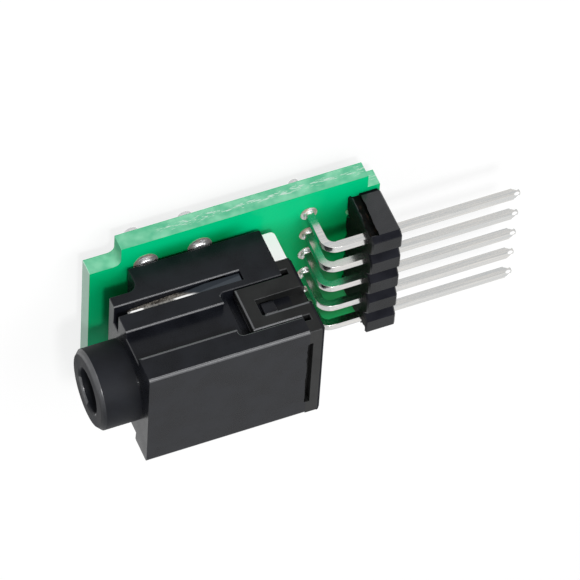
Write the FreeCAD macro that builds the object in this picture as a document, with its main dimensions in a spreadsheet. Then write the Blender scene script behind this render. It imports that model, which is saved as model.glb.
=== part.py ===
import FreeCAD, Part
import math
import os
import re

import Sketcher

# A small board with a 3.5 mm plug socket at its left and a right-angle pin header at its right.
# X runs from the socket's mouth towards the pin tips, Y runs up the board, and Z is the side
# that carries the parts. The origin is the centre of the mouth, on the plug's axis.
# Lengths are in millimetres.

doc = FreeCAD.newDocument("auxiliary_input_jack")
sheet = doc.addObject("Spreadsheet::Sheet", "Sizes")

SIZES = [
    # The board
    ("axis_height", 6.6, "plug axis above the board's component face"),
    ("board_length", 24.3, "board along X"),
    ("board_width", 18.3, "board along Y"),
    ("board_thickness", 1.5, "laminate"),
    ("board_lead", 0.66, "board edge ahead of the socket body's front face"),
    ("board_top", 7.4, "board's upper edge above the plug axis"),
    ("front_notch_length", 2.6, "notch at the upper corner by the mouth, along X"),
    ("front_notch_width", 1.95, "the same notch, along Y"),
    ("front_notch_round", 0.6, "radius in that notch"),
    ("back_notch_length", 1.05, "notch at the upper corner by the header, along X"),
    ("back_notch_width", 1.4, "the same notch, along Y"),
    # The socket's moulded body
    ("barrel_diameter", 6.6, "round collar that the panel hole takes"),
    ("barrel_length", 3.3, "collar ahead of the body"),
    ("plug_bore", 3.6, "bore that takes a 3.5 mm plug"),
    ("rim_chamfer", 0.35, "outer edge of the collar's end"),
    ("mouth_chamfer", 0.2, "lead-in of the bore"),
    ("body_length", 13.3, "moulded body along X"),
    ("body_width", 10.6, "moulded body along Y"),
    ("body_rise", 4.4, "body's outer face above the plug axis"),
    ("standoff", 0.4, "gap between the body and the board"),
    ("foot_size", 1.2, "side of a square foot that keeps the gap"),
    ("foot_inset", 1.4, "foot's middle in from the body's side"),
    ("front_foot", 6.25, "front feet behind the body's front face"),
    ("rear_foot", 1.7, "rear feet ahead of the body's rear face"),
    ("side_wall", 1.6, "wall beside the contact chamber"),
    ("chamber_drop", 3.8, "contact chamber's floor below the plug axis"),
    ("roof_wall", 1.5, "wall between the chamber and the outer face"),
    ("front_wall", 1.9, "wall between the body's front face and the chamber"),
    ("undercut_length", 2.35, "step under the body's front"),
    ("undercut_wall", 0.33, "wall between that step and the chamber's floor"),
    ("undercut_round", 0.8, "hollow corner of the step"),
    ("corner_round", 0.25, "long outer corners of the body"),
    ("edge_round", 0.15, "edges of the recess and of the arms"),
    ("lip_round", 0.12, "edge of the long groove"),
    # The long groove and the wide recess in each side of the body
    ("groove_drop", 2.65, "groove's middle below the plug axis"),
    ("groove_width", 0.9, "groove along Z"),
    ("groove_stop", 2.9, "groove's end ahead of the body's rear face"),
    ("recess_drop", 0.55, "recess edge below the plug axis"),
    ("recess_rise", 2.05, "recess edge above the plug axis"),
    ("recess_depth", 0.84, "depth of the recess and of the arm's pocket"),
    ("pocket_room", 1.15, "pocket ahead of the clip arm's end"),
    ("gap_length", 0.58, "deep gap ahead of the arm, along X"),
    ("gap_depth", 1.3, "depth of that gap"),
    ("pocket_round", 0.4, "corners of the pocket"),
    # The rear cover with its two clip arms
    ("cover_thickness", 1.3, "cover plate along X"),
    ("cover_ledge", 2.9, "cover's lower edge below the plug axis"),
    ("cover_round", 0.35, "rear edges of the cover"),
    ("arm_length", 4.05, "arm ahead of the cover plate"),
    ("arm_drop", 1.45, "arm's edge below the plug axis"),
    ("arm_rise", 2.7, "arm's edge above the plug axis"),
    ("window_length", 2.85, "arm's open window ahead of the cover plate"),
    ("window_low", 0.0, "window's lower edge above the plug axis"),
    ("window_high", 1.55, "window's upper edge above the plug axis"),
    ("nub_length", 1.1, "latch nub in the window, along X"),
    ("nub_inset", 0.35, "nub's start behind the window's front end"),
    ("nub_height", 0.45, "nub above the pocket's floor"),
    ("relief_length", 0.55, "small square hole at each root of the arm, along X"),
    ("relief_width", 0.5, "the same hole along Z"),
    ("seam_slit", 0.3, "slit along the seam on the outer face, along X"),
    ("seam_length", 7.6, "the same slit along Y"),
    ("seam_depth", 0.7, "depth of the slit"),
    ("insert_depth", 0.8, "how far the cover and insulator reach into the chamber"),
    # The white insulator under the cover's ledge
    ("insulator_thickness", 1.0, "insulator along X"),
    ("insulator_lift", 0.9, "insulator above the board"),
    ("insulator_round", 0.35, "its lower rear edge"),
    # The contacts, all of one sheet
    ("sheet_thickness", 0.3, "thickness of the contact sheet"),
    ("leg_width", 1.0, "width of a contact's leg"),
    ("leg_inset", 0.4, "leg's middle in from the body's side"),
    ("near_leg", 4.0, "front pair of legs behind the body's front face"),
    ("far_leg", 4.8, "rear pair of legs ahead of the body's rear face"),
    ("strip_width", 0.8, "side strips along Z"),
    ("nose_rise", 0.6, "contact noses above the plug axis"),
    ("nose_inset", 0.15, "how far a free nose stands inside the bore's radius"),
    ("bend_radius", 0.25, "middle radius of the sheet's bends"),
    ("fold_inset", 1.2, "front fold of the sleeve's strip behind the body's front face"),
    ("fold_gap", 0.9, "between the two runs of a fold, middle to middle"),
    ("sleeve_bend", 0.8, "last flat part of the sleeve's spring behind the chamber's front"),
    ("sleeve_nose", 1.8, "sleeve's nose behind the chamber's front"),
    ("ring_nose", 1.9, "ring's nose behind the front legs"),
    ("tip_nose", 2.4, "tip's nose ahead of its fold"),
    ("nose_tail", 0.8, "free end beyond a nose, along X"),
    ("nose_flare", 0.6, "how far the free end leans away from the plug"),
    ("spring_half_width", 0.8, "half the width of the ring's spring"),
    ("tail_reach", 3.0, "all tails below the board's component face"),
    # The pin header
    ("header_offset", 4.35, "pads behind the body's rear face"),
    ("first_pad", 4.93, "first pad above the plug axis"),
    ("pitch", 2.54, "pads and pins, centre to centre"),
    ("pin_size", 0.64, "side of a square pin"),
    ("pin_lift", 3.81, "pins above the board's component face"),
    ("pin_bend", 0.6, "inner radius of the bend"),
    ("leg_clear", 3.27, "pads to the header moulding"),
    ("pin_reach", 10.5, "pins beyond the header moulding"),
    ("point_length", 0.45, "tapered end of a pin"),
    ("point_taper", 0.18, "how far each side of that end leans in"),
    ("header_depth", 2.54, "header moulding along X"),
    ("header_height", 5.08, "header moulding along Z"),
    ("cell_flat", 1.3, "flat top of a cell along Y"),
    ("cell_valley", 0.5, "depth of the valley between two cells"),
    ("header_end", 1.0, "end of the moulding beyond the first pin"),
    ("header_foot", 0.65, "other end of the moulding beyond the last pin"),
    ("header_edge", 0.12, "broken front and rear edges of the moulding"),
    # Plated holes and solder
    ("plating", 0.08, "wall of a plated hole"),
    ("ring_thickness", 0.06, "copper ring on each face"),
    ("header_hole", 1.0, "drilled hole for a pin"),
    ("header_ring", 1.4, "ring round it"),
    ("jack_hole", 1.36, "drilled hole for a leg"),
    ("jack_ring", 2.04, "ring round it"),
    ("solder_margin", 0.04, "bare rim of the ring outside the solder"),
    ("solder_neck", 0.06, "solder round the metal at the top of a joint"),
    ("solder_hollow", 0.35, "share of a joint's width and height at the middle of its hollow flank"),
    ("header_solder", 0.45, "header joints above the board"),
    ("solder_cover", 0.3, "solder beyond the end of a tail"),
    ("solder_dome", 0.45, "height of the round end of a joint"),
    ("via_across", 0.4, "middle of the coated via, behind the header's rear side"),
    ("via_down", 1.25, "middle of the via below the first pad"),
    ("via_hole", 0.45, "drilled hole of the via"),
    ("via_ring", 1.0, "ring of the via"),
    # Clearances
    ("slip", 0.05, "between parts that slide together"),
    ("arm_slip", 0.1, "round the arm in its pocket"),
]
PIN_COUNT = 5
TOLERANCE = 1e-4

for row, (alias, value, note) in enumerate(SIZES, start=1):
    sheet.set(f"A{row}", note)
    sheet.set(f"B{row}", str(value))
    sheet.setAlias(f"B{row}", alias)
doc.recompute()

ALIASES = {alias for alias, _, _ in SIZES}


def formula(text):
    """The expression that binds a property to the sheet."""
    return re.sub(r"[a-z_]+", lambda word: f"Sizes.{word[0]}" if word[0] in ALIASES else word[0], text)


def number(text):
    """The present value of such an expression."""
    return float(sheet.evalExpression(formula(text)))


# Levels that several pieces share
BOARD_FACE = "-axis_height"
BOARD_BACK = "(-axis_height - board_thickness)"
TAIL_END = "(-axis_height - tail_reach)"
FRONT = "barrel_length"
REAR = "(barrel_length + body_length)"
SIDE = "(body_width / 2)"
UNDERSIDE = "(standoff - axis_height)"
CHAMBER_FRONT = "(barrel_length + front_wall)"
CHAMBER_SIDE = "(body_width / 2 - side_wall)"
CHAMBER_FLOOR = "(-chamber_drop)"
STEP_TOP = "(-chamber_drop - undercut_wall)"
CHAMBER_ROOF = "(body_rise - roof_wall)"
COVER_REAR = "(barrel_length + body_length + cover_thickness)"
GROOVE_END = "(barrel_length + body_length - groove_stop)"
ARM_END = "(barrel_length + body_length - arm_length)"
POCKET_START = "(barrel_length + body_length - arm_length - pocket_room)"
WALL_LANE = "(body_width / 2 - side_wall - 2 * slip - sheet_thickness / 2)"
LEG_LINE = "(body_width / 2 - leg_inset)"
NEAR_LEG = "(barrel_length + near_leg)"
FAR_LEG = "(barrel_length + body_length - far_leg)"
REAR_LEG = "(barrel_length + body_length + insulator_thickness / 2)"
FOOT_LEVEL = "(-chamber_drop + slip + sheet_thickness / 2)"
FOOT_TOP = f"({FOOT_LEVEL} + sheet_thickness / 2 + slip)"
HEADER_X = "(barrel_length + body_length + header_offset)"
HEADER_REAR = f"({HEADER_X} + leg_clear)"
HEADER_FRONT = f"({HEADER_X} + leg_clear + header_depth)"
PIN_TIP = f"({HEADER_X} + leg_clear + header_depth + pin_reach)"

pieces = {}


def box(name, x, y, z):
    """A block between the bounds given for each direction."""
    block = doc.addObject("Part::Box", name)
    for (low, high), size, place in zip((x, y, z), ("Length", "Width", "Height"), "xyz"):
        block.setExpression(size, formula(f"({high}) - ({low})"))
        block.setExpression(f"Placement.Base.{place}", formula(low))
    return block


def rod(name, radius, x, y=("0", "0"), z=("0", "0")):
    """A round bar along X, or along Z where x gives a single place."""
    bar = doc.addObject("Part::Cylinder", name)
    bar.setExpression("Radius", formula(radius))
    along = x if isinstance(x, tuple) else z
    if along is x:
        turn = FreeCAD.Rotation(FreeCAD.Vector(0, 1, 0), 90)
        bar.Placement = FreeCAD.Placement(FreeCAD.Vector(), turn)
    bar.setExpression("Height", formula(f"({along[1]}) - ({along[0]})"))
    for place, where in zip("xyz", (x, y, z)):
        start = where[0] if isinstance(where, tuple) else where
        bar.setExpression(f"Placement.Base.{place}", formula(start))
    return bar


def join(name, shapes):
    """All the shapes as one."""
    union = doc.addObject("Part::MultiFuse", name)
    union.Shapes = shapes
    union.Refine = True
    return union


def carve(name, base, tools):
    """The base without the tools."""
    remainder = doc.addObject("Part::Cut", name)
    remainder.Base = base
    remainder.Tool = tools[0] if len(tools) == 1 else join(f"{name}_tools", tools)
    remainder.Refine = True
    return remainder


def soften(name, base, kind, chosen):
    """Fillets or chamfers on the edges that each test accepts, at each test's size."""
    doc.recompute()
    treated = doc.addObject(f"Part::{kind}", name)
    treated.Base = base
    edges = []
    for index, edge in enumerate(base.Shape.Edges, start=1):
        for test, size in chosen:
            if test(edge):
                edges.append((index, size, size))
                break
    treated.Edges = edges
    return treated


def near(a, b):
    return abs(a - b) < TOLERANCE


def runs_along(edge, axis):
    """Whether a straight edge lies along one of the directions."""
    box_sizes = {"x": edge.BoundBox.XLength, "y": edge.BoundBox.YLength, "z": edge.BoundBox.ZLength}
    return all((size > TOLERANCE) == (name == axis) for name, size in box_sizes.items())


def span(side, inner, outer):
    """Bounds along Y on the upper side, 1, or mirrored to the lower side, -1."""
    return (inner, outer) if side > 0 else (f"-({outer})", f"-({inner})")


def finish(node, piece):
    piece.Label = node
    pieces[node] = piece


def keep_shape(node, shape):
    """A piece whose shape is set directly."""
    piece = doc.addObject("Part::Feature", node)
    piece.Shape = shape
    piece.Placement = FreeCAD.Placement()
    finish(node, piece)


def sketch_in(body, name, role, offset="0"):
    """A sketch on one of the body's own origin planes."""
    plane = [part for part in body.Origin.OriginFeatures if part.Role == role][0]
    sketch = body.newObject("Sketcher::SketchObject", name)
    sketch.AttachmentSupport = (plane, [""])
    sketch.MapMode = "FlatFace"
    sketch.setExpression("AttachmentOffset.Base.z", formula(offset))
    return sketch


def bind(sketch, kind, place, text):
    """A dimension of the sketch, bound to the sheet."""
    index = sketch.addConstraint(Sketcher.Constraint(kind, *place, number(text)))
    sketch.setExpression(f"Constraints[{index}]", formula(text))


def draw_outline(sketch, corners):
    """A closed outline of straight lines, each corner bound to the sheet."""
    ends = [FreeCAD.Vector(number(across), number(up), 0) for across, up in corners]
    lines = [sketch.addGeometry(Part.LineSegment(start, end), False)
             for start, end in zip(ends, ends[1:] + ends[:1])]
    for line, following in zip(lines, lines[1:] + lines[:1]):
        sketch.addConstraint(Sketcher.Constraint("Coincident", line, 2, following, 1))
    for line, (across, up) in zip(lines, corners):
        bind(sketch, "DistanceX", (line, 1), across)
        bind(sketch, "DistanceY", (line, 1), up)


def draw_circle(sketch, across, up, radius):
    middle = FreeCAD.Vector(number(across), number(up), 0)
    index = sketch.addGeometry(Part.Circle(middle, FreeCAD.Vector(0, 0, 1), number(radius)), False)
    bind(sketch, "DistanceX", (index, 3), across)
    bind(sketch, "DistanceY", (index, 3), up)
    bind(sketch, "Radius", (index,), radius)


def pad(body, sketch, length):
    feature = body.newObject("PartDesign::Pad", f"{sketch.Name}_pad")
    feature.Profile = sketch
    feature.setExpression("Length", formula(length))
    return feature


def dress(body, kind, name, feature, size_property, size, test):
    """A fillet or chamfer of a body, on the edges that the test accepts."""
    doc.recompute()
    dressed = body.newObject(f"PartDesign::{kind}", name)
    chosen = [f"Edge{i}" for i, edge in enumerate(feature.Shape.Edges, start=1) if test(edge)]
    dressed.Base = (feature, chosen)
    dressed.setExpression(size_property, formula(size))
    return dressed


# Where the holes are: the metal in each, X and Y
JACK_SPOTS = [
    ("ring_contact", NEAR_LEG, LEG_LINE),
    ("sleeve_contact", FAR_LEG, LEG_LINE),
    ("ring_switch_contact", NEAR_LEG, f"-{LEG_LINE}"),
    ("tip_contact", FAR_LEG, f"-{LEG_LINE}"),
    ("tip_switch_contact", REAR_LEG, "0"),
]
HEADER_SPOTS = [(f"header_pin_{i + 1}", HEADER_X, f"(first_pad - {i} * pitch)")
                for i in range(PIN_COUNT)]
VIA_SPOT = (f"({HEADER_REAR} + via_across)", "(first_pad - via_down)")


# Board
def make_board():
    body = doc.addObject("PartDesign::Body", "circuit_board")
    left = f"({FRONT} - board_lead)"
    right = f"({FRONT} - board_lead + board_length)"
    bottom = "(board_top - board_width)"
    outline = sketch_in(body, "board_outline", "XY_Plane", BOARD_BACK)
    draw_outline(outline, [
        (left, bottom),
        (right, bottom),
        (right, "board_top - back_notch_width"),
        (f"{right} - back_notch_length", "board_top - back_notch_width"),
        (f"{right} - back_notch_length", "board_top"),
        (f"{left} + front_notch_length", "board_top"),
        (f"{left} + front_notch_length", "board_top - front_notch_width"),
        (left, "board_top - front_notch_width"),
    ])
    plate = pad(body, outline, "board_thickness")
    corner_x = number(f"{left} + front_notch_length")
    corner_y = number("board_top - front_notch_width")

    def notch_corner(edge):
        middle = edge.CenterOfMass
        return runs_along(edge, "z") and near(middle.x, corner_x) and near(middle.y, corner_y)

    rounded = dress(body, "Fillet", "notch_round", plate, "Radius", "front_notch_round", notch_corner)
    holes = sketch_in(body, "board_holes", "XY_Plane", BOARD_BACK)
    for _, x, y in JACK_SPOTS:
        draw_circle(holes, x, y, "jack_hole / 2")
    for _, x, y in HEADER_SPOTS:
        draw_circle(holes, x, y, "header_hole / 2")
    draw_circle(holes, *VIA_SPOT, "via_hole / 2")
    doc.recompute()
    whole = rounded.Shape.Volume
    drilled = body.newObject("PartDesign::Pocket", "drilled")
    drilled.Profile = holes
    drilled.Reversed = True
    drilled.setExpression("Length", formula("board_thickness"))
    doc.recompute()
    if not drilled.Shape.Volume < whole:
        raise ValueError("the board's holes cut nothing")
    finish("circuit_board", body)


# Socket body
def make_housing():
    outer = box("housing_block", (FRONT, REAR), (f"-{SIDE}", SIDE), (UNDERSIDE, "body_rise"))
    barrel = rod("housing_barrel", "barrel_diameter / 2", ("0", f"{FRONT} + edge_round"))
    solids = [outer, barrel]
    for end, place in (("front", f"{FRONT} + front_foot"), ("rear", f"{REAR} - rear_foot")):
        for side in (1, -1):
            solids.append(box(
                f"housing_{end}_foot_{'upper' if side > 0 else 'lower'}",
                (f"{place} - foot_size / 2", f"{place} + foot_size / 2"),
                span(side, f"{SIDE} - foot_inset - foot_size / 2", f"{SIDE} - foot_inset + foot_size / 2"),
                (BOARD_FACE, f"{UNDERSIDE} + foot_size / 2"),
            ))
    tools = [
        rod("bore_tool", "plug_bore / 2", ("-slip", f"{CHAMBER_FRONT} + slip")),
        box("chamber_tool", (CHAMBER_FRONT, f"{REAR} + slip"), (f"-{CHAMBER_SIDE}", CHAMBER_SIDE),
            (CHAMBER_FLOOR, CHAMBER_ROOF)),
        box("undercut_tool", (f"{FRONT} - slip", f"{FRONT} + undercut_length"),
            (f"-{SIDE} - slip", f"{SIDE} + slip"),
            (f"{UNDERSIDE} - slip", STEP_TOP)),
    ]
    for side in (1, -1):
        name = "upper" if side > 0 else "lower"
        past = f"{SIDE} + slip"
        tools.append(box(f"groove_tool_{name}", (f"{FRONT} - slip", GROOVE_END),
                         span(side, f"{WALL_LANE} - sheet_thickness / 2 - slip", past),
                         ("-groove_drop - groove_width / 2", "groove_width / 2 - groove_drop")))
        tools.append(box(f"recess_tool_{name}", (f"{FRONT} - slip", f"{POCKET_START} + slip"),
                         span(side, f"{SIDE} - recess_depth", past), ("-recess_drop", "recess_rise")))
        tools.append(make_pocket_tool(side, name))
        tools.append(box(f"gap_tool_{name}", (f"{ARM_END} - gap_length", ARM_END),
                         span(side, f"{SIDE} - gap_depth", past),
                         ("-arm_drop - arm_slip", "arm_rise + arm_slip")))
        for spot, top in ((NEAR_LEG, FOOT_TOP), (FAR_LEG, "-groove_drop")):
            end = "near" if spot == NEAR_LEG else "far"
            tools.append(box(f"leg_slot_{end}_{name}",
                             (f"{spot} - leg_width / 2 - slip", f"{spot} + leg_width / 2 + slip"),
                             span(side, f"{LEG_LINE} - sheet_thickness / 2 - slip",
                                  f"{LEG_LINE} + sheet_thickness / 2 + slip"),
                             (f"{UNDERSIDE} - slip", top)))
        tools.append(box(f"foot_slot_{name}",
                         (f"{NEAR_LEG} - leg_width / 2 - slip", f"{NEAR_LEG} + leg_width / 2 + slip"),
                         span(side, f"{CHAMBER_SIDE} - slip", LEG_LINE), (CHAMBER_FLOOR, FOOT_TOP)))
    body = carve("housing_cut", join("housing_solid", solids), tools)
    rounded = soften("housing_rounded", body, "Fillet", housing_rounds())
    chamfered = soften("housing_chamfered", rounded, "Chamfer", housing_chamfers())
    nubs = []
    for side in (1, -1):
        start = f"{REAR} - window_length + nub_inset"
        middle = "((window_low + window_high) / 2)"
        reach = "((window_high - window_low) / 2 - 2 * arm_slip)"
        nubs.append(box(f"nub_{'upper' if side > 0 else 'lower'}", (start, f"{start} + nub_length"),
                        span(side, f"{SIDE} - recess_depth - slip", f"{SIDE} - recess_depth + nub_height"),
                        (f"{middle} - {reach}", f"{middle} + {reach}")))
    finish("jack_housing", join("jack_housing", [chamfered] + nubs))


def make_pocket_tool(side, name):
    """The pocket of a clip arm, with round corners where the arm's end lies."""
    pocket = box(f"pocket_block_{name}", (POCKET_START, f"{REAR} + slip"),
                 span(side, f"{SIDE} - recess_depth", f"{SIDE} + slip"),
                 ("-arm_drop - arm_slip", "arm_rise + arm_slip"))
    start = number(POCKET_START)

    def front_corner(edge):
        return runs_along(edge, "y") and near(edge.CenterOfMass.x, start)

    return soften(f"pocket_tool_{name}", pocket, "Fillet", [(front_corner, number("pocket_round"))])


def housing_rounds():
    """Tests for the body's long edges, its undercut and its front edges."""
    side = number(SIDE)
    roof = number("body_rise")
    groove_lip = number("-groove_drop - groove_width / 2")
    recess_edges = (number("-recess_drop"), number("recess_rise"))
    step_x = number(f"{FRONT} + undercut_length")
    step_z = number(STEP_TOP)

    def on_side(edge):
        return runs_along(edge, "x") and near(abs(edge.CenterOfMass.y), side)

    def long_corner(edge):
        return on_side(edge) and near(edge.CenterOfMass.z, roof)

    def recess_lip(edge):
        return on_side(edge) and any(near(edge.CenterOfMass.z, z) for z in recess_edges)

    def groove_edge(edge):
        return on_side(edge) and near(edge.CenterOfMass.z, groove_lip)

    def step_corner(edge):
        middle = edge.CenterOfMass
        return runs_along(edge, "y") and near(middle.x, step_x) and near(middle.z, step_z)

    return [
        (long_corner, number("corner_round")),
        (recess_lip, number("edge_round")),
        (groove_edge, number("lip_round")),
        (step_corner, number("undercut_round")),
    ]


def housing_chamfers():
    """Tests for the two round edges of the collar's end."""
    rim = number("barrel_diameter / 2")
    mouth = number("plug_bore / 2")

    def circle_at_mouth(edge, radius):
        at_end = near(edge.BoundBox.XMax, 0) and near(edge.BoundBox.XMin, 0)
        return at_end and near(edge.BoundBox.ZMax, radius)

    return [
        (lambda edge: circle_at_mouth(edge, rim), number("rim_chamfer")),
        (lambda edge: circle_at_mouth(edge, mouth), number("mouth_chamfer")),
    ]


# Rear cover
def make_cover():
    plate = box("cover_plate", (REAR, COVER_REAR), (f"-{SIDE}", SIDE), ("-cover_ledge", "body_rise"))
    rear = number(COVER_REAR)

    def rear_edge(edge):
        return near(edge.BoundBox.XMin, rear) and near(edge.BoundBox.XMax, rear)

    plate = soften("cover_plate_rounded", plate, "Fillet", [(rear_edge, number("cover_round"))])
    boss = box("cover_boss", (f"{REAR} - insert_depth", f"{REAR} + slip"),
               (f"-{CHAMBER_SIDE} + slip", f"{CHAMBER_SIDE} - slip"),
               ("slip - cover_ledge", f"{CHAMBER_ROOF} - slip"))
    solids = [plate, boss]
    tools = [box("seam_tool", (REAR, f"{REAR} + seam_slit"), ("-seam_length / 2", "seam_length / 2"),
                 ("body_rise - seam_depth", "body_rise + slip"))]
    for side in (1, -1):
        name = "upper" if side > 0 else "lower"
        depth = span(side, f"{SIDE} - recess_depth + slip", SIDE)
        through = span(side, f"{SIDE} - recess_depth", f"{SIDE} + slip")
        solids.append(box(f"arm_{name}", (ARM_END, f"{REAR} + slip"), depth,
                          ("-arm_drop", "arm_rise")))
        tools.append(box(f"window_tool_{name}", (f"{REAR} - window_length", f"{COVER_REAR} + slip"),
                         through, ("window_low", "window_high")))
        for root, low, high in (
            ("low", "-arm_drop - relief_width", "-arm_drop"),
            ("high", "arm_rise", "arm_rise + relief_width"),
        ):
            tools.append(box(f"relief_{root}_{name}", (f"{REAR} - slip", f"{REAR} + relief_length"),
                             through, (low, high)))
    solid = join("cover_solid", solids)
    end = number(ARM_END)

    def arm_edge(edge):
        middle = edge.CenterOfMass
        outside = near(abs(middle.y), number(SIDE))
        along_end = near(middle.x, end) and runs_along(edge, "z")
        along_arm = runs_along(edge, "x") and (near(middle.z, number("arm_rise"))
                                               or near(middle.z, number("-arm_drop")))
        return outside and (along_end or along_arm)

    eased = soften("cover_eased", solid, "Fillet", [(arm_edge, number("edge_round"))])
    finish("jack_rear_cover", carve("jack_rear_cover", eased, tools))


# White insulator
def make_insulator():
    bottom = "(insulator_lift - axis_height)"
    top = "(-cover_ledge - slip)"
    plate = box("insulator_plate", (REAR, f"{REAR} + insulator_thickness"),
                (f"-{SIDE} + slip", f"{SIDE} - slip"), (bottom, top))
    rear = number(f"{REAR} + insulator_thickness")

    def lower_rear(edge):
        middle = edge.CenterOfMass
        return runs_along(edge, "y") and near(middle.x, rear) and near(middle.z, number(bottom))

    plate = soften("insulator_rounded", plate, "Fillet", [(lower_rear, number("insulator_round"))])
    boss = box("insulator_boss", (f"{REAR} - insert_depth", f"{REAR} + slip"),
               (f"-{CHAMBER_SIDE} + slip", f"{CHAMBER_SIDE} - slip"), (f"{CHAMBER_FLOOR} + slip", top))
    half = "(leg_width / 2 + slip)"
    slots = [
        box("insulator_leg_slot",
            (f"{REAR_LEG} - sheet_thickness / 2 - slip", f"{REAR_LEG} + sheet_thickness / 2 + slip"),
            (f"-{half}", half), (f"{bottom} - slip", f"{FOOT_TOP} + slip")),
        box("insulator_foot_slot", (f"{REAR} - insert_depth - slip", REAR_LEG), (f"-{half}", half),
            (CHAMBER_FLOOR, f"{FOOT_TOP} + slip")),
    ]
    finish("jack_rear_insulator",
           carve("jack_rear_insulator", join("insulator_solid", [plate, boss]), slots))


# Contacts: strips of one sheet, bent along a line of points and as wide as the given bounds
PLANES = {
    "xy": (FreeCAD.Vector(1, 0, 0), FreeCAD.Vector(0, 1, 0), FreeCAD.Vector(0, 0, 1)),
    "xz": (FreeCAD.Vector(1, 0, 0), FreeCAD.Vector(0, 0, 1), FreeCAD.Vector(0, 1, 0)),
    "yz": (FreeCAD.Vector(0, 1, 0), FreeCAD.Vector(0, 0, 1), FreeCAD.Vector(1, 0, 0)),
}


def bent_strip(points, plane, width):
    """A strip whose middle follows the points in the plane, spread along the plane's normal."""
    across, up, normal = PLANES[plane]
    low, high = number(width[0]), number(width[1])
    places = [across * number(a) + up * number(u) + normal * low for a, u in points]
    face = Part.Face(ribbon(rounded_line(places), normal))
    return face.extrude(normal * (high - low))


def rounded_line(places):
    """Straight runs joined by tangent arcs of the bend's radius."""
    radius = number("bend_radius")
    edges = []
    start = places[0]
    for before, corner, after in zip(places, places[1:], places[2:]):
        back = (before - corner).normalize()
        ahead = (after - corner).normalize()
        trim = radius / math.tan(back.getAngle(ahead) / 2)
        first = corner + back * trim
        last = corner + ahead * trim
        inward = (back + ahead).normalize()
        middle = corner + inward * (math.hypot(radius, trim) - radius)
        edges.append(Part.LineSegment(start, first).toShape())
        edges.append(Part.Arc(first, middle, last).toShape())
        start = last
    edges.append(Part.LineSegment(start, places[-1]).toShape())
    return edges


def ribbon(edges, normal):
    """The outline that lies half a sheet's thickness to each side of a smooth line."""
    half = number("sheet_thickness / 2")
    outline = []
    corners = []
    for side in (half, -half):
        track = []
        for edge in edges:
            first, last = edge.FirstParameter, edge.LastParameter
            places = [edge.valueAt(at) + normal.cross(edge.tangentAt(at)) * side
                      for at in (first, (first + last) / 2, last)]
            track.extend((places[0], places[2]))
            if edge.Curve.TypeId == "Part::GeomCircle":
                outline.append(Part.Arc(*places).toShape())
            else:
                outline.append(Part.LineSegment(places[0], places[2]).toShape())
        corners.append((track[0], track[-1]))
    for pair in zip(*corners):
        outline.append(Part.LineSegment(*pair).toShape())
    return Part.Wire(Part.__sortEdges__(outline))


def leg_block(spot, line, top):
    """The straight leg of a side contact, from its tail to the given level."""
    low = FreeCAD.Vector(number(f"{spot} - leg_width / 2"), number(f"{line} - sheet_thickness / 2"),
                         number(TAIL_END))
    return Part.makeBox(number("leg_width"), number("sheet_thickness"), number(top) - low.z, low)


def fused(shapes):
    return shapes[0].multiFuse(shapes[1:]).removeSplitter()


STRIP_LOW = "(-groove_drop - strip_width / 2)"
STRIP_HIGH = "(strip_width / 2 - groove_drop)"
NOSE_LINE = "(plug_bore / 2 - nose_inset + sheet_thickness / 2)"
NOSE_BACK = f"({NOSE_LINE} + nose_flare)"


def make_sleeve_contact():
    """The strip in the upper groove: flat at its rear, folded back at the front onto the sleeve."""
    fold_x = f"({FRONT} + fold_inset)"
    bend = (f"{CHAMBER_FRONT} + sleeve_bend", WALL_LANE)
    nose_x = f"({CHAMBER_FRONT} + sleeve_nose)"
    strip = bent_strip([
        (f"{GROOVE_END} - 2 * slip", LEG_LINE),
        (f"{FAR_LEG} - leg_width", LEG_LINE),
        (fold_x, f"{WALL_LANE} + fold_gap"),
        (fold_x, WALL_LANE),
        bend,
    ], "xy", (STRIP_LOW, STRIP_HIGH))
    nose = bent_strip([
        (f"{CHAMBER_FRONT} + slip", WALL_LANE),
        bend,
        (nose_x, NOSE_LINE),
        (f"{nose_x} + nose_tail", NOSE_BACK),
    ], "xy", (STRIP_LOW, "nose_rise"))
    keep_shape("sleeve_contact", fused([strip, nose, leg_block(FAR_LEG, LEG_LINE, STRIP_HIGH)]))


def make_tip_contact():
    """The strip in the lower groove: it enters the chamber and is folded back onto the tip."""
    line = f"(-{LEG_LINE})"
    lane = f"(-{WALL_LANE})"
    inside = f"({GROOVE_END} - 3 * slip)"
    fold_x = f"({REAR} - insert_depth - slip - sheet_thickness)"
    nose_x = f"({fold_x} - tip_nose)"
    strip = bent_strip([
        (f"{FAR_LEG} - leg_width", line),
        (f"{FAR_LEG} + leg_width / 2 + slip", line),
        (inside, lane),
        (f"{fold_x} - leg_width", lane),
    ], "xy", (STRIP_LOW, STRIP_HIGH))
    nose = bent_strip([
        (f"{inside} + leg_width / 2", lane),
        (fold_x, lane),
        (fold_x, f"{lane} + fold_gap"),
        (nose_x, f"-{NOSE_LINE}"),
        (f"{nose_x} - nose_tail", f"-{NOSE_BACK}"),
    ], "xy", (STRIP_LOW, "nose_rise"))
    keep_shape("tip_contact", fused([strip, nose, leg_block(FAR_LEG, line, STRIP_HIGH)]))


def make_ring_contact():
    """A spring that lies on the chamber's floor and rises to the plug's ring."""
    legs = (f"{NEAR_LEG} - leg_width / 2", f"{NEAR_LEG} + leg_width / 2")
    nose_x = f"({NEAR_LEG} + ring_nose)"
    leg = bent_strip([(LEG_LINE, TAIL_END), (LEG_LINE, FOOT_LEVEL), ("0", FOOT_LEVEL)], "yz", legs)
    spring = bent_strip([
        (legs[0], FOOT_LEVEL),
        (f"{legs[1]} + bend_radius", FOOT_LEVEL),
        (nose_x, f"-{NOSE_LINE}"),
        (f"{nose_x} + nose_tail", f"-{NOSE_BACK}"),
    ], "xz", ("-spring_half_width", "spring_half_width"))
    keep_shape("ring_contact", fused([leg, spring]))


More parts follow.
